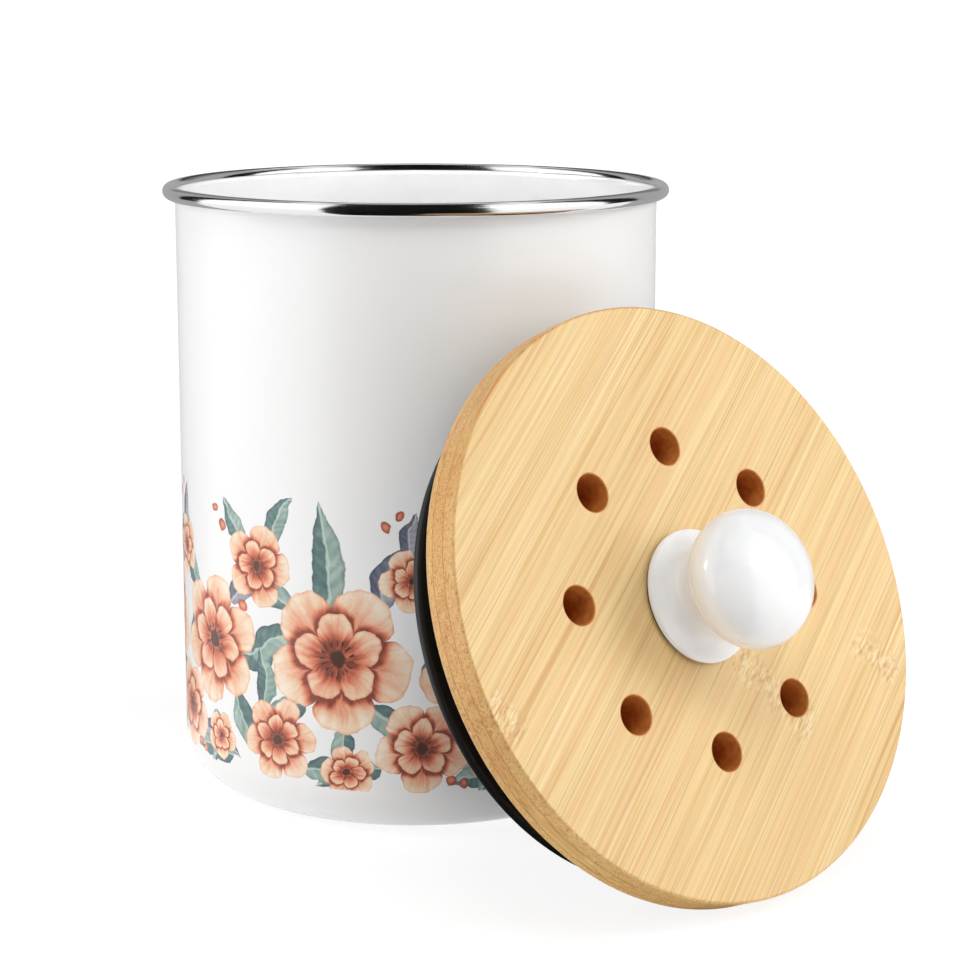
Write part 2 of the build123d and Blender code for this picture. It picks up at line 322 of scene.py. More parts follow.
# An open blossom: an outer row of petals, an inner row between them and a heart with stamens
blossom_in = motif_in | numbers("Radius", "Petals")
blossom, given, made = shared("blossom", blossom_in, motif_out)
across, up = from_middle(given)
reach = maths("DIVIDE", distance(across, up), given["Radius"])
angle = plus(maths("ARCTAN2", up, across), given["Turn"])
half_turns = times(angle, times(given["Petals"], 0.5))
lobe = maths("ABSOLUTE", maths("COSINE", half_turns))
inner_lobe = maths("ABSOLUTE", maths("SINE", half_turns))
edge = times_plus(maths("POWER", lobe, 0.5), 0.36, 0.64)
inner_edge = times_plus(maths("POWER", inner_lobe, 0.55), 0.24, 0.36)
outwards_share = maths("DIVIDE", reach, edge)
inner_share = maths("DIVIDE", reach, inner_edge)
streak_place = vector_of(maths("COSINE", angle), maths("SINE", angle), times(reach, 0.16))
streaks = noise(streak_place, 9, 3, 0.6)
wash = times_plus(streaks, 0.75, -0.36)
outer_tone = plus(
    fade(outwards_share, 0.35, 1.0, 0.62, 0.06),
    fade(outwards_share, 0.93, 1.0, 0, 0.3),
    fade(lobe, 0.0, 0.5, 0.42, 0),
    fade(inner_share, 1.0, 1.3, 0.5, 0),
    wash,
)
inner_tone = plus(
    fade(inner_share, 0.3, 1.0, 0.85, 0.12),
    fade(inner_share, 0.9, 1.0, 0, 0.25),
    fade(inner_lobe, 0.0, 0.5, 0.45, 0),
    wash,
)
inside = fade(inner_share, 0.97, 1.0, 1, 0)
blossom_tone = node(blossom, "Mix", {0: inside, 2: outer_tone, 3: inner_tone}).outputs[0]
stamen = fade(maths("ABSOLUTE", maths("SINE", times(angle, 8))), 0.8, 0.95)
stamen_ring = times(fade(reach, 0.15, 0.17), fade(reach, 0.21, 0.23, 1, 0))
heart = maths("MAXIMUM", fade(reach, 0.1, 0.13, 1, 0), times(stamen, stamen_ring))
tone = plus(blossom_tone, given["Blots"])
shade = over(heart, tones(tone, *petal_colours), colour(88, 62, 52))
painted_over(given, made, fade(outwards_share, 0.975, 1.0, 1, 0), shade)

# A bent, pointed leaf that grows from its stem end, with a pale midrib and one darker half
leaf_in = motif_in | numbers("Length", "Width", "Bend", "Slate")
leaf, given, made = shared("leaf", leaf_in, motif_out)
across, up = from_middle(given)
turn_cosine = maths("COSINE", given["Turn"])
turn_sine = maths("SINE", given["Turn"])
along = plus(times(across, turn_cosine), times(up, turn_sine))
aside = minus(times(up, turn_cosine), times(across, turn_sine))
share = maths("DIVIDE", along, given["Length"])
left_over = minus(1, share)
midrib = times(times(share, left_over), given["Bend"])
off_rib = maths("DIVIDE", minus(aside, midrib), given["Width"])
breadth = times(maths("SQRT", maths("MAXIMUM", share, 0)), left_over)
margin = times_plus(breadth, 2.6, times(maths("ABSOLUTE", off_rib), -1))
veins = maths("SINE", times_plus(share, 46, times(maths("ABSOLUTE", off_rib), -7)))
leaf_tone = plus(
    fade(off_rib, -0.1, 0.1, 0.22, 0.62),
    fade(maths("ABSOLUTE", off_rib), 0.04, 0.12, -0.45, 0),
    times(veins, 0.06),
    fade(margin, 0.0, 0.3, 0.22, 0),
)
tone = times_plus(given["Blots"], 1.5, leaf_tone)
shade = over(given["Slate"], tones(tone, *leaf_colours), tones(tone, *slate_colours))
painted_over(given, made, fade(margin, 0, 0.07), shade)

# A small round berry
berry, given, made = shared("berry", motif_in | numbers("Radius"), motif_out)
across, up = from_middle(given)
reach = maths("DIVIDE", distance(across, up), given["Radius"])
tone = plus(fade(reach, 0, 1, 0.45, 0.85), given["Blots"])
painted_over(given, made, fade(reach, 0.85, 1, 1, 0), tones(tone, *petal_colours))

# The print's repeat, in millimetres round the wall and up from the foot, and degrees
leaves = (
    # across, up, length, half width, turn, bend
    (-40, 74, 30, 5.6, 132, 16),
    (-27, 75, 35, 5.8, 96, -7),
    (-10, 76, 24, 5.0, 62, 12),
    (-46, 60, 24, 5.2, 186, 12),
    (-36, 44, 27, 5.4, 232, -14),
    (-14, 44, 24, 5.0, 306, 12),
    (34, 72, 26, 5.2, 66, -14),
    (44, 56, 26, 5.4, 20, 14),
    (36, 42, 26, 5.6, 318, -16),
    (13, 72, 26, 5.2, 112, 14),
    (14, 26, 25, 4.8, 346, 10),
    (-10, 24, 24, 4.8, 200, -10),
    (42, 94, 17, 3.8, 130, 8),
    (52, 94, 19, 3.8, 60, 5),
    (0, 92, 15, 3.4, 82, 6),
    (8, 46, 22, 4.6, 84, 8),
    (34, 20, 24, 4.6, 184, -8),
    (-36, 22, 22, 4.4, 348, 8),
    (46, 24, 22, 4.8, 20, 10),
    (-52, 40, 20, 4.4, 96, -10),
    (24, 34, 20, 4.4, 262, 10),
    (-22, 36, 20, 4.4, 282, -10),
)
blossoms = (
    # across, up, radius, turn, petals
    (27, 26, 8.5, 10, 5),
    (-21, 22, 9.5, 40, 5),
    (0, 85, 10.5, 30, 5),
    (47, 86, 14.0, 0, 5),
    (-46, 30, 14.5, 50, 6),
    (3, 31, 15.5, 20, 5),
    (24, 58, 22.5, 40, 6),
    (-24, 59, 25.0, 12, 5),
)
berries = (
    # across, up, radius
    (-8, 102, 1.9),
    (-4, 106, 1.6),
    (30, 97, 2.0),
    (26, 102, 1.6),
    (12, 20, 1.8),
    (16, 18.5, 1.6),
    (-60, 72, 2.0),
    (-64, 68, 1.6),
)
mm = 0.001

flowers_out = {"Color": "Color"} | numbers("Mask")
flowers, given, made = shared("flowers", {"Vector": "Vector"}, flowers_out)
spot = parts(given["Vector"])
wall_angle = maths("ARCTAN2", spot[0], times(spot[1], -1))
around = times(wall_angle, body_radius)
even = vector_of(around, spot[2])
inputs = {"Vector": given["Vector"], "Scale": 170, "Detail": 2}
wavers = node(flowers, "TexNoise", inputs).outputs["Color"]
centred = maths("SUBTRACT", wavers, (0.5, 0.5, 0.5), kind="VectorMath")
waver_ways = (waver_depth, waver_depth, 0)
point = maths("MULTIPLY_ADD", centred, waver_ways, even, kind="VectorMath")
blots = times_plus(noise(given["Vector"], 150, 5, 0.65), 0.55, -0.275)
patches = times_plus(noise(given["Vector"], 38, 2), 0.5, -0.2)
petal_blots = plus(blots, patches)
painted = colour(250, 250, 249)


def motif(group, across, up, turn, **values):
    """Paint one motif over the colour so far."""
    spot = {"Flat": point, "Under": painted, "Across": across * mm, "Up": up * mm}
    return placed(group, **spot, Turn=radians(turn), **values)


for index, (across, up, length, width, turn, bend) in enumerate(leaves):
    slate = float(index % 4 == 2)
    sizes = {"Length": length * mm, "Width": width * mm, "Bend": bend * mm}
    point, painted = motif(leaf, across, up, turn, Blots=blots, **sizes, Slate=slate)
for across, up, radius in berries:
    point, painted = motif(berry, across, up, 0, Blots=petal_blots, Radius=radius * mm)
for across, up, radius, turn, petals in blossoms:
    sizes = {"Radius": radius * mm, "Petals": petals}
    point, painted = motif(blossom, across, up, turn, Blots=petal_blots, **sizes)
mask = parts(point)[2]
clear_of_foot = fade(spot[2], print_foot, print_foot + 0.0002)
feed(made["Color"], painted)
feed(made["Mask"], times(mask, clear_of_foot))

enamel, surface, here = finish("white_enamel")
print_here = placed(flowers, Vector=here)
spot = parts(here)
from_axis = distance(spot[0], spot[1])
on_the_outside = fade(from_axis, body_radius - 0.6 * shell_wall, body_radius - 0.4 * shell_wall)
inked = times(print_here["Mask"], on_the_outside)
painted = over(inked, colour(247, 247, 247), print_here["Color"])
smeared = placed(smears, Vector=here, Low=0.2, High=0.26)["Roughness"]
supply(surface, {"Base Color": painted, "Roughness": times_plus(inked, 0.08, smeared)})
bumped(surface, placed(ripple, Vector=here, Size=0.012)["Height"], 0.0001, 0.35)

foot_radius = body_radius - foot_corner_radius
flat_radius = foot_radius - 0.001
flange_under = bead_height - shell_wall / 2
flange_over = flange_under + shell_wall
flange_tip = bead_centre_radius + bead_radius / 2
bend_centre = (body_radius + flange_bend, flange_under - flange_bend)
corner_centre = (foot_radius, foot_corner_radius)
canister_outline = [
    (0, 0),
    (flat_radius, 0),
    *arc(corner_centre, foot_corner_radius, -90, 0, 20),
    *arc(bend_centre, flange_bend, 180, 90, 6),
    (flange_tip, flange_under),
    (flange_tip, flange_over),
    *arc(bend_centre, flange_bend + shell_wall, 90, 180, 8),
    *arc(corner_centre, foot_corner_radius - shell_wall, 0, -90, 20),
    (flat_radius, shell_wall),
    (0, shell_wall),
]
canister_form = turned("canister_form", canister_outline, enamel)
shown("enamelled_canister", canister_form, "canister", "white_enamel", "canister")


# Rim band
# A strip of stainless steel rolled into an open tube over the flange, its edges closed on the
# shell's shoulder and polished bright.

band_thickness = 0.0004
band_seam = 2.5

tube_inside = bead_radius - band_thickness
shoulder_radius = flange_bend + shell_wall
to_shoulder = (bend_centre[0] - bead_centre_radius, bend_centre[1] - bead_height)
apart = hypot(*to_shoulder)
cosine = (tube_inside**2 + apart**2 - shoulder_radius**2) / (2 * tube_inside * apart)
meeting = degrees(acos(cosine))
upper_edge = degrees(atan2(to_shoulder[1], to_shoulder[0])) % 360 - meeting - band_seam + 360
lower_edge = 180 + degrees(acos((bead_centre_radius - body_radius) / bead_radius)) + band_seam
bead_centre = (bead_centre_radius, bead_height)
band_outline = arc(bead_centre, bead_radius, lower_edge, upper_edge, 44)
band_outline += arc(bead_centre, tube_inside, upper_edge, lower_edge, 36)

polished_steel, surface, here = finish("polished_steel")
spot = parts(here)
round_the_rim = maths("ARCTAN2", spot[0], spot[1])
rolled = vector_of(times(round_the_rim, 3), times(spot[2], 5000))
lines = noise(rolled, 1.0, 3, 0.6)
supply(surface, {"Base Color": (0.80, 0.80, 0.81, 1), "Metallic": 1})
worn = placed(smears, Vector=here, Low=0.07, High=0.15)["Roughness"]
supply(surface, {"Roughness": times_plus(lines, 0.05, worn)})
bumped(surface, lines, 0.00001, 0.15)

band_form = turned("band_form", band_outline, polished_steel, closed=True, sides=320)
shown("rolled_rim_band", band_form, "canister", "polished_steel", "rim_band", sharp=50)


# Lid board
# Three bamboo plies glued face to face with their fibres crossed, turned to a disc and drilled with
# eight vents, whose walls the drill has scorched. The face is sanded and oiled.

lid_joint = {joint["name"]: joint for joint in frame["joints"]}["lid_lift_off"]
cover_joint = {joint["name"]: joint for joint in frame["joints"]}["filter_cover_turn"]
lid_out = Vector(lid_joint["axis"]).normalized()
lid_across = Vector((-lid_out.y, lid_out.x, 0)).normalized()
lid_up = lid_out.cross(lid_across)
lid_turn = Matrix((lid_across, lid_up, lid_out)).transposed()
lid_place = Matrix.Translation(Vector(cover_joint["pos_m"])) @ lid_turn.to_4x4()

lid_radius = 0.0910
ply_thickness = 0.0048
board_thickness = 3 * ply_thickness
face_edge_round = 0.0010
back_edge_round = 0.0030
vent_count = 8
vent_radius = 0.0058
vent_circle_radius = 0.0467
vent_edge_round = 0.0004
vent_start = -6.6
centre_hole_radius = 0.00225
counterbore_radius = 0.0072
side_dots = 0.45


def shape(kind, inputs, **settings):
    """Add a geometry node to the tree of its inputs and hand on what it makes."""
    tree = tree_of(*inputs.values())
    return node(tree, "GeometryNode" + kind, inputs, **settings).outputs[0]


def joined(*pieces):
    join = node(tree_of(*pieces), "GeometryNodeJoinGeometry")
    for piece in pieces:
        feed(join.inputs[0], piece)
    return join.outputs[0]


def baked(piece):
    """The plain mesh that a piece's modifiers make."""
    depsgraph = bpy.context.evaluated_depsgraph_get()
    return bpy.data.meshes.new_from_object(piece.evaluated_get(depsgraph))


def grown(name, tree, values, place=None):
    """Run a geometry tree with these named inputs and keep the result as a plain mesh."""
    seed = put(name, bpy.data.meshes.new(name))
    modifier = seed.modifiers.new(name, "NODES")
    modifier.node_group = tree
    for socket in tree.interface.items_tree:
        if socket.in_out == "INPUT":
            modifier[socket.identifier] = values[socket.name]
    mesh = baked(seed)
    bpy.data.objects.remove(seed)
    form = bmesh.new()
    form.from_mesh(mesh)
    bmesh.ops.recalc_face_normals(form, faces=form.faces)
    form.to_mesh(mesh)
    form.free()
    mesh.transform(place or Matrix.Identity(4))
    return mesh


# A wall round one edge of a board, with a rounded corner at each end and the rims of its two flats
rounds = ("Bottom Round", "Top Round")
wall_in = numbers("Radius", "Solid Side", "Bottom", "Top", *rounds) | {"Sides": "Int"}
wall_out = dict.fromkeys(("Wall", "Under", "Over"), "Geometry")
edge_wall, given, made = shared("edge_wall", wall_in, wall_out, "GeometryNodeTree")
flat_margin = 0.0004
corners = []
for end in ("Bottom", "Top"):
    into_flat = times(plus(given[end + " Round"], flat_margin), given["Solid Side"])
    below = times(given[end], -1)
    inner = vector_of(times(into_flat, -1), below)
    outer = vector_of(0.0, below)
    sizes = {"Resolution": given["Sides"], "Radius": minus(given["Radius"], into_flat)}
    corners.append((inner, outer, shape("CurvePrimitiveCircle", sizes)))
(low_inner, low_outer, low_rim), (high_inner, high_outer, high_rim) = corners
points = {"Point 1": low_inner, "Point 2": low_outer, "Point 3": high_outer, "Point 4": high_inner}
box = shape("CurvePrimitiveQuadrilateral", points, mode="POINTS")
opened = shape("SetSplineCyclic", {"Geometry": box, "Cyclic": False})
point_index = node(edge_wall, "GeometryNodeInputIndex").outputs[0]
at_bottom = maths("COMPARE", point_index, 1, 0.5)
at_top = maths("COMPARE", point_index, 2, 0.5)
rounding = plus(times(at_bottom, given["Bottom Round"]), times(at_top, given["Top Round"]))
inputs = {"Curve": opened, "Radius": rounding, "Count": 8, "Limit Radius": True}
rounded_profile = shape("FilletCurve", inputs, mode="POLY")
sizes = {"Resolution": given["Sides"], "Radius": given["Radius"]}
circle = shape("CurvePrimitiveCircle", sizes)
upright = shape("SetCurveNormal", {"Curve": circle}, mode="Z_UP")
wall = shape("CurveToMesh", {"Curve": upright, "Profile Curve": rounded_profile})
feed(made["Wall"], wall)
feed(made["Under"], low_rim)
feed(made["Over"], high_rim)

# A drilled disc: its rim, its centre hole and a ring of vents, closed by two flats with holes
disc_in = numbers("Radius", "Hole Radius", "Vent Radius", "Vent Circle", "Vent Start")
disc_in |= numbers("Bottom", "Top", *rounds, "Vent Bottom Round", "Vent Top Round")
disc_in |= {"Vent Count": "Int", "Material": "Material"}
form_out = {"Geometry": "Geometry"}
drilled_disc, given, made = shared("drilled_disc", disc_in, form_out, "GeometryNodeTree")


def edge_of(radius, solid_side, bottom_round, top_round, sides):
    values = {title: given[title] for title in ("Bottom", "Top")}
    values |= {"Bottom Round": bottom_round, "Top Round": top_round}
    values |= {"Radius": radius, "Solid Side": solid_side, "Sides": sides}
    return node(drilled_disc, "GeometryNodeGroup", values, node_tree=edge_wall).outputs


rim = edge_of(given["Radius"], 1.0, given["Bottom Round"], given["Top Round"], 256)
hole = edge_of(given["Hole Radius"], -1.0, 0.0, 0.0, 64)
vent = edge_of(given["Vent Radius"], -1.0, given["Vent Bottom Round"], given["Vent Top Round"], 64)
sizes = {"Vertices": given["Vent Count"], "Radius": given["Vent Circle"]}
ring = shape("MeshCircle", sizes)
turn = vector_of(0.0, 0.0, given["Vent Start"])
centres = shape("Transform", {"Geometry": ring, "Rotation": turn})
flats = []
for title, level in (("Under", given["Bottom"]), ("Over", given["Top"])):
    spread = shape("InstanceOnPoints", {"Points": centres, "Instance": vent[title]})
    rims = joined(rim[title], hole[title], spread)
    outline = shape("RealizeInstances", {0: rims})
    filled = shape("FillCurve", {"Curve": outline}, mode="TRIANGLES")
    lift = vector_of(0.0, 0.0, level)
    flats.append(shape("Transform", {"Geometry": filled, "Translation": lift}))
walls = shape("InstanceOnPoints", {"Points": centres, "Instance": vent["Wall"]})
together = joined(rim["Wall"], hole["Wall"], walls, *flats)
whole = shape("RealizeInstances", {0: together})
merged = shape("MergeByDistance", {"Geometry": whole, "Distance": 2e-6})
inputs = {"Geometry": merged, "Material": given["Material"]}
feed(made["Geometry"], shape("SetMaterial", inputs))


def stretched(vector, scales):
    return maths("MULTIPLY", vector, scales, kind="VectorMath")


def streaked(vector, along, across, detail, roughness=0.5):
    """Noise that is drawn out along the fibres."""
    return noise(stretched(vector, (along, across, across)), 1, detail, roughness)


def cells(vector, scale):
    """How far a point lies from the middle of its grain or fibre bundle."""
    inputs = {"Vector": vector, "Scale": scale}
    return node(vector.id_data, "TexVoronoi", inputs).outputs["Distance"]


# The lid's own coordinates: across, up and out from the middle of the board's back face
on_lid, given, made = shared("on_lid", {"Vector": "Vector"}, {"Vector": "Vector"})
inputs = {"Vector": given["Vector"], "Location": lid_place.translation}
inputs["Rotation"] = lid_turn.to_euler()
feed(made["Vector"], node(on_lid, "Mapping", inputs, vector_type="TEXTURE").outputs[0])

# Bamboo: long fibres, slow bands of tone, dark and pale fibre lines, bundles that show as dots
# on an end, and the cane's knuckles, which cross a strip as a wavy band of short flecks
knuckles = (
    # along the fibres, from, to across them, in millimetres
    (-4.5, -58, -19),
    (34.5, -79, -57),
    (-79, 29, 46),
)
bamboo_in = {"Vector": "Vector"} | numbers("Fibre Turn", "Dots", "Depth")
bamboo_out = {"Color": "Color"} | numbers("Roughness", "Height")
bamboo, given, made = shared("bamboo", bamboo_in, bamboo_out)
turned_back = times(given["Fibre Turn"], -1)
inputs = {"Vector": given["Vector"], "Angle": turned_back}
laid = node(bamboo, "VectorRotate", inputs, rotation_type="Z_AXIS").outputs[0]
sway = streaked(laid, 9, 40, 2)
swayed = maths("ADD", laid, vector_of(0.0, times(sway, 0.002)), kind="VectorMath")
bands = streaked(swayed, 3, 62, 2)
streaks = streaked(swayed, 5, 700, 3, 0.65)
fibres = streaked(swayed, 12, 1500, 3, 0.65)
tone = plus(
    times(bands, 0.22),
    times(streaks, 0.32),
    times(fibres, 0.46),
    times(given["Depth"], -1),
)
wood = tones(
    tone,
    (0.26, 192, 134, 75),
    (0.38, 216, 168, 106),
    (0.46, 228, 193, 131),
    (0.55, 236, 206, 145),
    (0.70, 245, 222, 171),
)
rosy = streaked(laid, 5, 300, 3, 0.6)
wood = over(fade(rosy, 0.46, 0.66, 0, 0.48), wood, colour(233, 186, 132))
deep = streaked(swayed, 7, 380, 3, 0.6)
wood = over(fade(deep, 0.56, 0.7, 0, 0.65), wood, colour(211, 153, 90))
dark_lines = streaked(swayed, 6, 1500, 2)
wood = over(fade(dark_lines, 0.6, 0.7, 0, 0.42), wood, colour(188, 128, 72))
pale_lines = streaked(laid, 7, 1300, 2)
wood = over(fade(pale_lines, 0.6, 0.68, 0, 0.42), wood, colour(249, 233, 196))
bundle = fade(cells(stretched(laid, (3, 1250, 1250)), 1), 0.2, 0.38, 1, 0)
wood = over(times(bundle, given["Dots"]), wood, colour(150, 94, 44))
lane = parts(laid)
wander = times_plus(noise(laid, 160, 2), 0.010, minus(lane[0], 0.005))
knuckled = 0
for along, low, high in knuckles:
    near = fade(maths("ABSOLUTE", minus(wander, along * mm)), 0.0015, 0.008, 1, 0)
    starts = fade(lane[1], low * mm, (low + 2) * mm)
    ends = fade(lane[1], (high - 2) * mm, high * mm, 1, 0)
    knuckled = maths("MAXIMUM", knuckled, times(near, times(starts, ends)))
flecks = streaked(laid, 300, 950, 2, 0.6)
dark_flecks = times(knuckled, fade(flecks, 0.52, 0.64, 0, 0.55))
wood = over(dark_flecks, wood, colour(192, 138, 86))
pale_flecks = times(knuckled, fade(flecks, 0.36, 0.47, 0.5, 0))
wood = over(pale_flecks, wood, colour(250, 234, 200))
feed(made["Color"], wood)
feed(made["Roughness"], fade(fibres, 0.3, 0.7, 0.5, 0.4))
feed(made["Height"], plus(fibres, times(dark_lines, -0.6)))

# How far a point on the lid is from the axis of the nearest vent
vent_axis, given, made = shared("vent_axis", {"Vector": "Vector"}, numbers("Distance"))
spot = parts(given["Vector"])
lid_angle = minus(maths("ARCTAN2", spot[1], spot[0]), radians(vent_start))
off_vent = maths("WRAP", lid_angle, pi / vent_count, -pi / vent_count)
out = distance(spot[0], spot[1])
towards = times_plus(maths("COSINE", off_vent), out, -vent_circle_radius)
sideways = times(maths("SINE", off_vent), out)
feed(made["Distance"], distance(towards, sideways))


def bamboo_ply(name, fibre_turn, dots, depth):
    """The finish of one ply, whose fibres run at this angle from the lid's across direction."""
    material, surface, here = finish(name)
    local = placed(on_lid, Vector=here)["Vector"]
    spot = parts(local)
    side = fade(distance(spot[0], spot[1]), lid_radius - 0.9 * mm, lid_radius - 0.3 * mm)
    shown_dots = times_plus(side, side_dots - dots, dots)
    values = {"Fibre Turn": radians(fibre_turn), "Dots": shown_dots, "Depth": depth}
    wood = placed(bamboo, Vector=local, **values)
    off_axis = placed(vent_axis, Vector=local)["Distance"]
    scorched_wall = vent_radius + 0.5 * vent_edge_round
    scorched_rim = vent_radius + 1.4 * vent_edge_round
    burn = fade(off_axis, scorched_wall, scorched_rim, 1, 0)
    glue = 0
    for level in (ply_thickness, 2 * ply_thickness):
        off_line = maths("ABSOLUTE", minus(spot[2], level))
        glue = maths("MAXIMUM", glue, fade(off_line, 0.08 * mm, 0.2 * mm, 1, 0))
    # The side's end grain is tinted, and its lower part is painted lighter: painted light standing
    # in for the floor's bounce under the leaning lid.
    painted_floor_light = fade(spot[1], -0.7 * lid_radius, -0.35 * lid_radius, 1, 0)
    end_grain_tint_and_painted_light = over(painted_floor_light, colour(228, 202, 168), colour(255, 242, 216))
    painted = over(times(side, 0.75), wood["Color"], end_grain_tint_and_painted_light, way="MULTIPLY")
    painted = over(times(glue, 0.8), painted, colour(168, 96, 26))
    soot = over(noise(local, 500, 4), colour(158, 66, 10), colour(244, 162, 74))
    painted = over(times(burn, 0.92), painted, soot)
    supply(surface, {"Base Color": painted, "Roughness": wood["Roughness"]})
    bumped(surface, times_plus(glue, -0.8, wood["Height"]), 0.00006, 0.5)
    return material


plies = (
    # name, slot, layer, hole radius, bottom round, top round, fibre turn, dots, depth
    ("face_ply", "bamboo_face", 2, centre_hole_radius, 0, face_edge_round, 39, 0.14, 0.0),
    ("core_ply", "bamboo_core", 1, centre_hole_radius, 0, 0, 129, 0.75, 0.03),
    ("back_ply", "bamboo_back", 0, counterbore_radius, back_edge_round, 0, 39, 0.2, -0.02),
)
for name, slot, layer, hole_radius, bottom_round, top_round, fibre_turn, dots, depth in plies:
    values = {
        "Radius": lid_radius,
        "Hole Radius": hole_radius,
        "Vent Count": vent_count,
        "Vent Radius": vent_radius,
        "Vent Circle": vent_circle_radius,
        "Vent Start": radians(vent_start),
        "Bottom": layer * ply_thickness,
        "Top": (layer + 1) * ply_thickness,
        "Bottom Round": bottom_round,
        "Top Round": top_round,
        "Vent Bottom Round": vent_edge_round if bottom_round else 0.0,
        "Vent Top Round": vent_edge_round if top_round else 0.0,
        "Material": bamboo_ply(slot, fibre_turn, dots, depth),
    }
    ply_form = grown(name, drilled_disc, values, lid_place)
    shown("bamboo_" + name, ply_form, "lid", slot, "board_" + name, sharp=30)


# Knob
# Slip cast ceramic under a thick white glaze: a flared foot, a narrow waist and a flattened
# ball. A threaded brass sleeve is cemented into its bore.

knob_flange_radius = 0.0205
knob_flange_edge = 0.0024
knob_waist_radius = 0.0134
knob_waist_height = board_thickness + 0.0095
knob_ball_radius = 0.0210
knob_ball_half_height = 0.0148
knob_ball_height = board_thickness + 0.0240
neck_meets_ball = -42
knob_pad_thickness = 0.0008
knob_bore_radius = 0.0041
knob_bore_top = board_thickness + 0.0168


def bent(start, start_way, end, end_way, steps):
    """Points along a bend that leaves one point and reaches another in these directions."""
    start, end = Vector(start), Vector(end)
    handle = (end - start).length * 0.38
    first = start + Vector(start_way).normalized() * handle
    second = end - Vector(end_way).normalized() * handle
    points = []
    for step in range(steps + 1):
        t = step / steps
        near_start = start * (1 - t) ** 3 + first * 3 * t * (1 - t) ** 2
        points.append(tuple(near_start + second * 3 * t * t * (1 - t) + end * t**3))
    return points


knob_foot = board_thickness + knob_pad_thickness
flange_centre = (knob_flange_radius - knob_flange_edge / 2, knob_foot + knob_flange_edge / 2)
ball = []
for angle in between(neck_meets_ball, 90, 40):
    height = knob_ball_height + knob_ball_half_height * sin(radians(angle))
    ball.append((knob_ball_radius * cos(radians(angle)), height))
ball[-1] = (0, ball[-1][1])
ball_way = (ball[1][0] - ball[0][0], ball[1][1] - ball[0][1])
waist = (knob_waist_radius, knob_waist_height)
knob_outline = [
    (0, knob_bore_top),
    (knob_bore_radius, knob_bore_top),
    (knob_bore_radius, knob_foot),
    *arc(flange_centre, knob_flange_edge / 2, -90, 90, 14),
    *bent((flange_centre[0], knob_foot + knob_flange_edge), (-1, 0.3), waist, (0.02, 1), 16)[1:],
    *bent(waist, (0.02, 1), ball[0], ball_way, 12)[1:],
    *ball[1:],
]

glaze, surface, here = finish("white_glaze")
pooled = noise(here, 90, 2)
glazed = over(fade(pooled, 0.4, 0.7), colour(247, 247, 247), colour(243, 244, 245))
smeared = placed(smears, Vector=here, Low=0.14, High=0.2)["Roughness"]
supply(surface, {"Base Color": glazed, "Roughness": smeared})
supply(surface, {"Coat Weight": 0.4, "Coat Roughness": 0.08})
bumped(surface, placed(ripple, Vector=here, Size=0.009)["Height"], 0.00008, 0.25)
knob_form = turned("knob_form", knob_outline, glaze, place=lid_place)
shown("ceramic_knob", knob_form, "lid", "white_glaze", "knob", sharp=50)


# Knob pad and fixings
# A thin black rubber washer keeps the ceramic off the bamboo. Behind the board a zinc plated
# machine screw and washer draw the knob down by its brass sleeve.

knob_pad_inset = 0.0010
pad_edge = 0.0002
pad_radius = knob_flange_radius - knob_pad_inset


def rounded(radius, low, high, edge, steps):
    """An upright edge at this radius, with both its corners rounded."""
    lower = arc((radius - edge, low + edge), edge, -90, 0, steps)
    return lower + arc((radius - edge, high - edge), edge, 0, 90, steps)


pad_outline = [
    (centre_hole_radius, board_thickness),
    *rounded(pad_radius, board_thickness, knob_foot, pad_edge, 4),
    (centre_hole_radius, knob_foot),
]

black_rubber, surface, here = finish("black_rubber")
powder = noise(here, 900, 3)
powdered = over(fade(powder, 0.4, 0.75), colour(24, 24, 25), colour(46, 45, 45))
supply(surface, {"Base Color": powdered, "Roughness": 0.75})
bumped(surface, powder, 0.00005, 0.6)
pad_form = turned("pad_form", pad_outline, black_rubber, closed=True, place=lid_place, sides=128)
shown("rubber_knob_pad", pad_form, "lid", "black_rubber", "knob_pad")


def machined(name, base, low, high):
    """Turned or plated metal, with fine tool lines round the lid's axis."""
    material, surface, here = finish(name)
    local = placed(on_lid, Vector=here)["Vector"]
    lines = noise(stretched(local, (300, 300, 9000)), 1, 3)
    stain = noise(local, 260, 4)
    darker = tuple(value * 0.7 for value in base[:3]) + (1,)
    stained = over(fade(stain, 0.45, 0.75), base, darker)
    roughness = fade(stain, 0.3, 0.7, low, high)
    supply(surface, {"Base Color": stained, "Metallic": 1, "Roughness": roughness})
    bumped(surface, lines, 0.00002, 0.5)
    return material


def finished(name, material):
    """A node of the frame that keeps its own shape and gets this finish."""
    piece = frame["nodes"][name]
    piece.data.materials.clear()
    piece.data.materials.append(material)


zinc_plating = machined("zinc_plated_steel", colour(192, 196, 200), 0.22, 0.42)
finished("knob_insert", machined("brass", colour(214, 176, 96), 0.2, 0.4))
finished("knob_screw", zinc_plating)
finished("knob_washer", zinc_plating)


# Housing screws
# Four small countersunk wood screws with crossed recesses hold the filter housing to the board.

housing_screw_count = 4
housing_screw_circle_radius = 0.0650
housing_screw_start = 45
housing_flange_thickness = 0.0030
screw_head_radius = 0.0030
screw_head_height = 0.0018
screw_radius = 0.0015
screw_length = 0.0115
screw_tip = 0.0020
recess_length = 0.0036
recess_width = 0.0008
recess_depth = 0.0011
thread_pitch = 0.0011
thread_depth = 0.00035

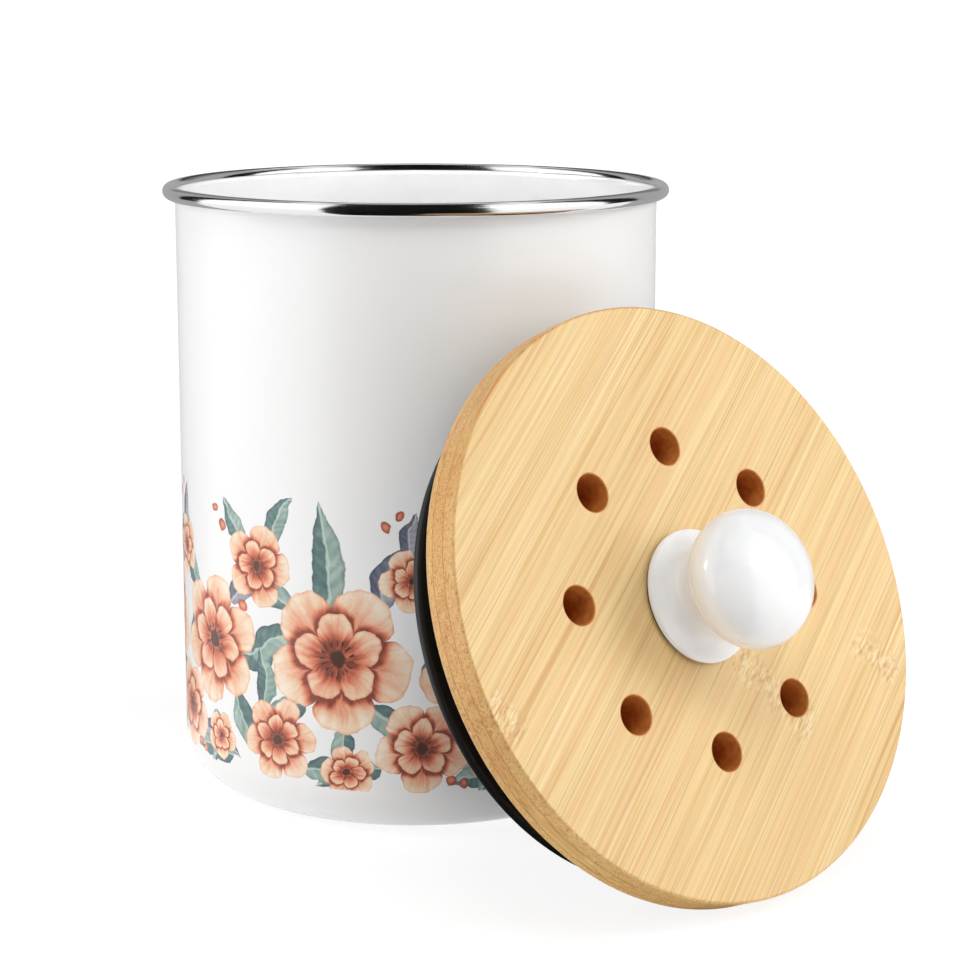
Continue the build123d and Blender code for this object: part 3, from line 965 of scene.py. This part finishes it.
thread_start = screw_head_height + 0.0006
head_round = 0.0001
screw_outline = [
    (0, 0),
    (screw_head_radius - head_round, 0),
    (screw_head_radius, head_round),
    (screw_radius, screw_head_height),
    (screw_radius, thread_start),
]
thread_turns = int((screw_length - screw_tip - thread_start) / thread_pitch)
for turn in range(thread_turns):
    height = thread_start + turn * thread_pitch
    screw_outline.append((screw_radius - thread_depth, height + 0.3 * thread_pitch))
    screw_outline.append((screw_radius, height + thread_pitch))
screw_outline += [(screw_radius - thread_depth, screw_length - screw_tip), (0, screw_length)]
screw_form = turned("screw_form", screw_outline, zinc_plating, sides=48)
screw = put("screw", screw_form)
recess = bpy.data.meshes.new("recess")
form = bmesh.new()
for across, up in ((recess_length, recess_width), (recess_width, recess_length)):
    bmesh.ops.create_cube(form, size=1, matrix=Matrix.Diagonal((across, up, 2 * recess_depth, 1)))
form.to_mesh(recess)
form.free()
cutter = put("recess_cutter", recess)
cut = screw.modifiers.new("recess", "BOOLEAN")
cut.operation = "DIFFERENCE"
cut.object = cutter
cut.use_self = True
cut_mesh = baked(screw)
screw.modifiers.clear()
screw.data = cut_mesh
bpy.data.objects.remove(cutter)

screws_in = {"Screw": "Object", "Count": "Int", "Material": "Material"}
screws_in |= numbers("Circle", "Start", "Height")
screws_round, given, made = shared("screws_round", screws_in, form_out, "GeometryNodeTree")
ring = shape("MeshCircle", {"Vertices": given["Count"], "Radius": given["Circle"]})
inputs = {
    "Geometry": ring,
    "Translation": vector_of(0.0, 0.0, given["Height"]),
    "Rotation": vector_of(0.0, 0.0, given["Start"]),
}
centres = shape("Transform", inputs)
source = node(screws_round, "GeometryNodeObjectInfo", {"Object": given["Screw"]})
inputs = {"Points": centres, "Instance": source.outputs["Geometry"]}
copies = shape("InstanceOnPoints", inputs)
real = shape("RealizeInstances", {0: copies})
inputs = {"Geometry": real, "Material": given["Material"]}
feed(made["Geometry"], shape("SetMaterial", inputs))
values = {
    "Screw": screw,
    "Count": housing_screw_count,
    "Circle": housing_screw_circle_radius,
    "Start": radians(housing_screw_start),
    "Height": -housing_flange_thickness,
    "Material": zinc_plating,
}
screws_form = grown("housing_screws_form", screws_round, values, lid_place)
bpy.data.objects.remove(screw)
shown("countersunk_screws", screws_form, "lid", "zinc_plated_steel", "housing_screws", sharp=30)


# Filter housing
# An injection moulded ring of black plastic. It carries the seal in its groove and the filter in
# its bore, and three slots in its rear rim take the cover's lugs.

moulded_edge = 0.0003


def softened(name, edge_round, material):
    """A merged copy of a node's mesh, with its sharp edges rounded as a mould leaves them."""
    form = bmesh.new()
    form.from_mesh(frame["nodes"][name].data)
    bmesh.ops.remove_doubles(form, verts=form.verts, dist=touching)
    bmesh.ops.dissolve_limit(form, angle_limit=radians(0.5), verts=form.verts, edges=form.edges)
    mesh = bpy.data.meshes.new(name + "_form")
    form.to_mesh(mesh)
    form.free()
    maker = put(name + "_maker", mesh)
    bevel = maker.modifiers.new("mould", "BEVEL")
    bevel.width = edge_round
    bevel.segments = 2
    bevel.limit_method = "ANGLE"
    bevel.angle_limit = radians(40)
    bevel.harden_normals = True
    made = baked(maker)
    bpy.data.objects.remove(maker)
    made.materials.clear()
    made.materials.append(material)
    return made


black_plastic, surface, here = finish("black_plastic")
grain = noise(here, 2600, 2, 0.6)
flow = noise(here, 30, 3)
flowed = over(flow, colour(15, 15, 17), colour(24, 24, 27))
supply(surface, {"Base Color": flowed, "Roughness": fade(grain, 0.3, 0.7, 0.38, 0.52)})
bumped(surface, grain, 0.00004, 0.5)

housing_form = softened("filter_housing", moulded_edge, black_plastic)
shown("moulded_filter_housing", housing_form, "lid", "black_plastic", "filter_housing")


# Seal
# Soft silicone, very dark grey, pressed into the housing's groove. Its lip is a little larger than
# the canister's mouth.

seal_radius = 0.0810
seal_inside = 0.0733
seal_root_radius = 0.0763
seal_root_rear = -0.0193
seal_root_width = 0.0050
seal_lip_thickness = 0.0032
seal_lip_round = 0.0014

lip_rear = seal_root_rear + (seal_root_width - seal_lip_thickness) / 2
lip_front = lip_rear + seal_lip_thickness
seal_outline = [
    (seal_inside, seal_root_rear),
    (seal_root_radius, seal_root_rear),
    (seal_root_radius, lip_rear),
    *rounded(seal_radius, lip_rear, lip_front, seal_lip_round, 8),
    (seal_root_radius, lip_front),
    (seal_root_radius, seal_root_rear + seal_root_width),
    (seal_inside, seal_root_rear + seal_root_width),
]
silicone, surface, here = finish("grey_silicone")
dust = noise(here, 1400, 4, 0.7)
dusty = over(fade(dust, 0.5, 0.8, 0, 0.5), colour(18, 19, 24), colour(38, 40, 48))
smeared = placed(smears, Vector=here, Low=0.4, High=0.55)["Roughness"]
supply(surface, {"Base Color": dusty, "Roughness": smeared})
bumped(surface, placed(ripple, Vector=here, Size=0.004)["Height"], 0.00005, 0.4)
seal_form = turned("seal_form", seal_outline, silicone, closed=True, place=lid_place)
shown("silicone_seal", seal_form, "lid", "grey_silicone", "seal")


# Charcoal filter
# A round pad punched from needled felt that is loaded with activated carbon.

filter_radius = 0.0703
filter_rear = -0.0148
filter_front = -0.0033
filter_edge = 0.0016

filter_outline = [
    (0, filter_rear),
    *[(filter_radius * step / 40, filter_rear) for step in range(1, 39)],
    *rounded(filter_radius, filter_rear, filter_front, filter_edge, 5),
    *[(filter_radius * step / 40, filter_front) for step in range(38, 0, -1)],
    (0, filter_front),
]
charcoal_felt, surface, here = finish("charcoal_felt")
hairs = noise(stretched(here, (900, 2400, 1500)), 1, 4, 0.75)
grains = cells(here, 1600)
greyed = over(fade(hairs, 0.5, 0.8), colour(26, 26, 27), colour(70, 70, 71))
supply(surface, {"Base Color": greyed, "Roughness": 0.95, "Sheen Weight": 0.2})
bumped(surface, times_plus(grains, 0.5, hairs), 0.0004, 0.8)
filter_form = turned("filter_form", filter_outline, charcoal_felt, place=lid_place, sides=180)
filter_pad = shown("charcoal_pad", filter_form, "lid", "charcoal_felt", "charcoal_filter")


# Filter cover
# A moulded grille of black plastic that presses the pad against the board. A short turn by its
# finger grip frees its three lugs.

cover_form = softened("filter_cover", moulded_edge, black_plastic)
shown("moulded_filter_cover", cover_form, "filter_cover", "black_plastic", "filter_cover")


# Floor, backdrop and light
# A plain white table that keeps the shadow near the object, soft boxes at both sides, above and
# low in front, and a small lamp over the mouth. Cards that only reflections see tone the rim.


def rectangle(name, half_width, half_height):
    """A flat rectangle round the origin."""
    mesh = bpy.data.meshes.new(name)
    corners = [(-half_width, -half_height, 0), (half_width, -half_height, 0)]
    corners += [(half_width, half_height, 0), (-half_width, half_height, 0)]
    mesh.from_pydata(corners, [], [(0, 1, 2, 3)])
    return mesh


floor_half = 60.0
floor_mesh = rectangle("floor", floor_half, floor_half)
floor = put("floor", floor_mesh)


def seen_directly(tree):
    """1 for camera, glossy and transmission rays, 0 for the rays that light the object."""
    ray = node(tree, "LightPath").outputs
    bounced = maths("MAXIMUM", ray["Is Glossy Ray"], ray["Is Transmission Ray"])
    return maths("MAXIMUM", ray["Is Camera Ray"], bounced)


def bare(name):
    """A new material with an empty tree: itself and the tree."""
    material = bpy.data.materials.new(name)
    material.use_nodes = True
    material.node_tree.nodes.clear()
    return material, material.node_tree


def from_origin(tree):
    """How far a point lies from its object's origin."""
    here = node(tree, "TexCoord").outputs["Object"]
    return node(tree, "VectorMath", {0: here}, operation="LENGTH").outputs["Value"]


def shader(tree, kind, inputs):
    return node(tree, kind, inputs).outputs[0]


paper_glow = 1.12
table_glow_share = 0.14
paper, tree = bare("white_paper")
far_out = fade(from_origin(tree), 0.25, 0.8, 0.76, 1)
lit = shader(tree, "BsdfDiffuse", {"Color": (1, 1, 1, 1)})
glowing = shader(tree, "Emission", {"Color": (1, 1, 1, 1), "Strength": paper_glow})
white = shader(tree, "MixShader", {0: far_out, 1: lit, 2: glowing})
table = shader(tree, "BsdfDiffuse", {"Color": (0.9, 0.9, 0.9, 1)})
plain = shader(tree, "MixShader", {0: table_glow_share, 1: table, 2: glowing})
both = shader(tree, "MixShader", {0: seen_directly(tree), 1: plain, 2: white})
node(tree, "OutputMaterial", {"Surface": both})
floor_mesh.materials.append(paper)

world = bpy.data.worlds.new("studio")
world.use_nodes = True
bpy.context.scene.world = world
background = world.node_tree.nodes["Background"]
background.inputs["Color"].default_value = (1, 1, 1, 1)
world_light = 0.18
strength = times_plus(seen_directly(world.node_tree), 1 - world_light, world_light)
feed(background.inputs["Strength"], strength)

light_target = Vector((0.03, -0.05, 0.10))


def polar(azimuth, elevation, away, centre=light_target):
    """A place as the object sees it: azimuth 0 is the camera's side and 90 its right."""
    a, e = radians(azimuth), radians(elevation)
    return centre + away * Vector((sin(a) * cos(e), -cos(a) * cos(e), sin(e)))


def facing(place):
    """Stand at a place and look at the object."""
    turn = (light_target - place).to_track_quat("-Z", "Y")
    return Matrix.Translation(place) @ turn.to_matrix().to_4x4()


def unseen(piece, *rays):
    for ray in rays:
        setattr(piece, "visible_" + ray, False)


def area_lamp(name, form, watts):
    """A lamp that camera and reflections don't see: its light and its object."""
    light = bpy.data.lights.new(name, "AREA")
    light.shape = form
    light.energy = watts
    holder = put(name, light)
    unseen(holder, "camera", "glossy")
    return light, holder


soft_boxes = (
    # name, azimuth, elevation, distance, width, height, watts
    ("left_box", -83, 20, 1.3, 0.6, 1.1, 8.3),
    ("right_box", 79, 26, 1.3, 0.8, 1.0, 10.7),
    ("top_box", 5, 62, 1.4, 0.8, 0.8, 8.0),
    ("low_box", -50, 2, 1.1, 0.6, 0.3, 1.3),
)
for name, azimuth, elevation, away, width, height, watts in soft_boxes:
    light, holder = area_lamp(name, "RECTANGLE", watts)
    light.size, light.size_y = width, height
    holder.matrix_world = facing(polar(azimuth, elevation, away))

light, holder = area_lamp("mouth_lamp", "DISK", 0.205)
light.size = 0.05
light.spread = radians(13)
holder.location = (0.004, 0.02, 0.75)

black_tone = 0.004
gap_tone = 0.01
wall_tone = 0.42
white_tone = 1.3
card_distance = 1.6
arch_distance = 1.55
glint_distance = 1.2
card_centre = Vector((0, 0, 0.2))


def card(name, mesh, level, softness=0.0):
    """A card of even tone, or one that fades from its middle, which only reflections see."""
    toned, tree = bare(name)
    strength = level
    if softness:
        strength = fade(from_origin(tree), 0.02, softness, level, 1.0)
    undimmed = maths("LESS_THAN", node(tree, "LightPath").outputs["Diffuse Depth"], 0.5)
    inputs = {"Color": (1, 1, 1, 1), "Strength": times(undimmed, strength)}
    node(tree, "OutputMaterial", {"Surface": shader(tree, "Emission", inputs)})
    mesh.materials.append(toned)
    piece = put(name, mesh)
    unseen(piece, "camera", "diffuse", "shadow", "transmission", "volume_scatter")
    return piece


def sheet(name, rows, level):
    """A card through rows of places, each row as long as the others."""
    columns = len(rows[0])
    patches = []
    for row in range(len(rows) - 1):
        for column in range(columns - 1):
            first = row * columns + column
            patches.append((first, first + 1, first + columns + 1, first + columns))
    mesh = bpy.data.meshes.new(name)
    mesh.from_pydata([place for row in rows for place in row], [], patches)
    card(name, mesh, level)


standing_cards = (
    # name, from azimuth, to azimuth, lowest and highest elevation, tone
    ("left_white", -108, -38, -8, 60, white_tone),
    ("left_gap", -128, -109, -8, 60, gap_tone),
    ("left_wall", -150, -128, -8, 60, wall_tone),
    ("right_white", 36, 92, -8, 60, white_tone),
    ("right_gap", 93, 116, -8, 60, gap_tone),
    ("right_wall", 116, 150, -8, 60, wall_tone),
    ("low_back", 150, 210, -8, 14, wall_tone),
    ("right_back", 150, 166, 14, 46, 0.22),
    ("back_card", 166, 194, 14, 46, 0.06),
    ("left_back", 194, 210, 14, 46, 0.22),
)
for name, left, right, low, high, level in standing_cards:
    rows = []
    for elevation in between(low, high, 6):
        turns = between(left, right, 8)
        rows.append([polar(turn, elevation, card_distance, card_centre) for turn in turns])
    sheet(name, rows, level)

# The black card arches from the table in front, over the object and down behind it
arch_widths = (
    # degrees up from the front, left and right edge as shares of the distance
    (-8, -0.64, 0.54),
    (20, -0.62, 0.52),
    (45, -0.54, 0.46),
    (70, -0.42, 0.36),
    (90, -0.30, 0.27),
    (116, -0.26, 0.23),
)
rows = []
for angle, left, right in arch_widths:
    row = []
    for aside in between(left, right, 8):
        forwards = (1 - aside * aside) ** 0.5
        way = Vector((aside, -forwards * cos(radians(angle)), forwards * sin(radians(angle))))
        row.append(card_centre + arch_distance * way)
    rows.append(row)
sheet("black_arch", rows, black_tone)

# Aprons on the table join the cards to the object's foot
apron_lift = 0.001
apron = []
for reach in (0.14, 1.0, 1.95):
    asides = between(-0.64, 0.54, 8)
    apron.append([(reach * aside, -reach * 0.8, apron_lift) for aside in asides])
sheet("black_apron", apron, black_tone)
apron = []
for reach in (0.1, 0.8, 1.6):
    turns = between(radians(110), radians(250), 12)
    apron.append([(reach * sin(turn), -reach * cos(turn), apron_lift) for turn in turns])
sheet("back_apron", apron, wall_tone)

glints = (
    # name, azimuth, elevation, half width, half height, fade, brightness
    ("right_glint", 49, 36, 0.26, 0.26, 0.22, 8.0),
    ("left_glint", -74, 24, 0.06, 0.14, 0.0, 12.0),
)
for name, azimuth, elevation, half_width, half_height, softness, level in glints:
    glint = card(name, rectangle(name, half_width, half_height), level, softness)
    glint.matrix_world = facing(polar(azimuth, elevation, glint_distance))

# The camera looks from a little above the rim, through a long lens
camera_data = bpy.data.cameras.new("camera")
camera_data.lens = 95.494
camera_data.sensor_width = 36
camera_data.sensor_fit = "HORIZONTAL"
camera_data.clip_start = 0.01
camera = put("camera", camera_data)
camera.location = (0.021256, -0.851566, 0.270838)
camera_pitch = 11.256
camera.rotation_euler = (radians(90 - camera_pitch), 0, 0)
bpy.context.scene.camera = camera
bpy.context.scene.view_settings.view_transform = "Standard"
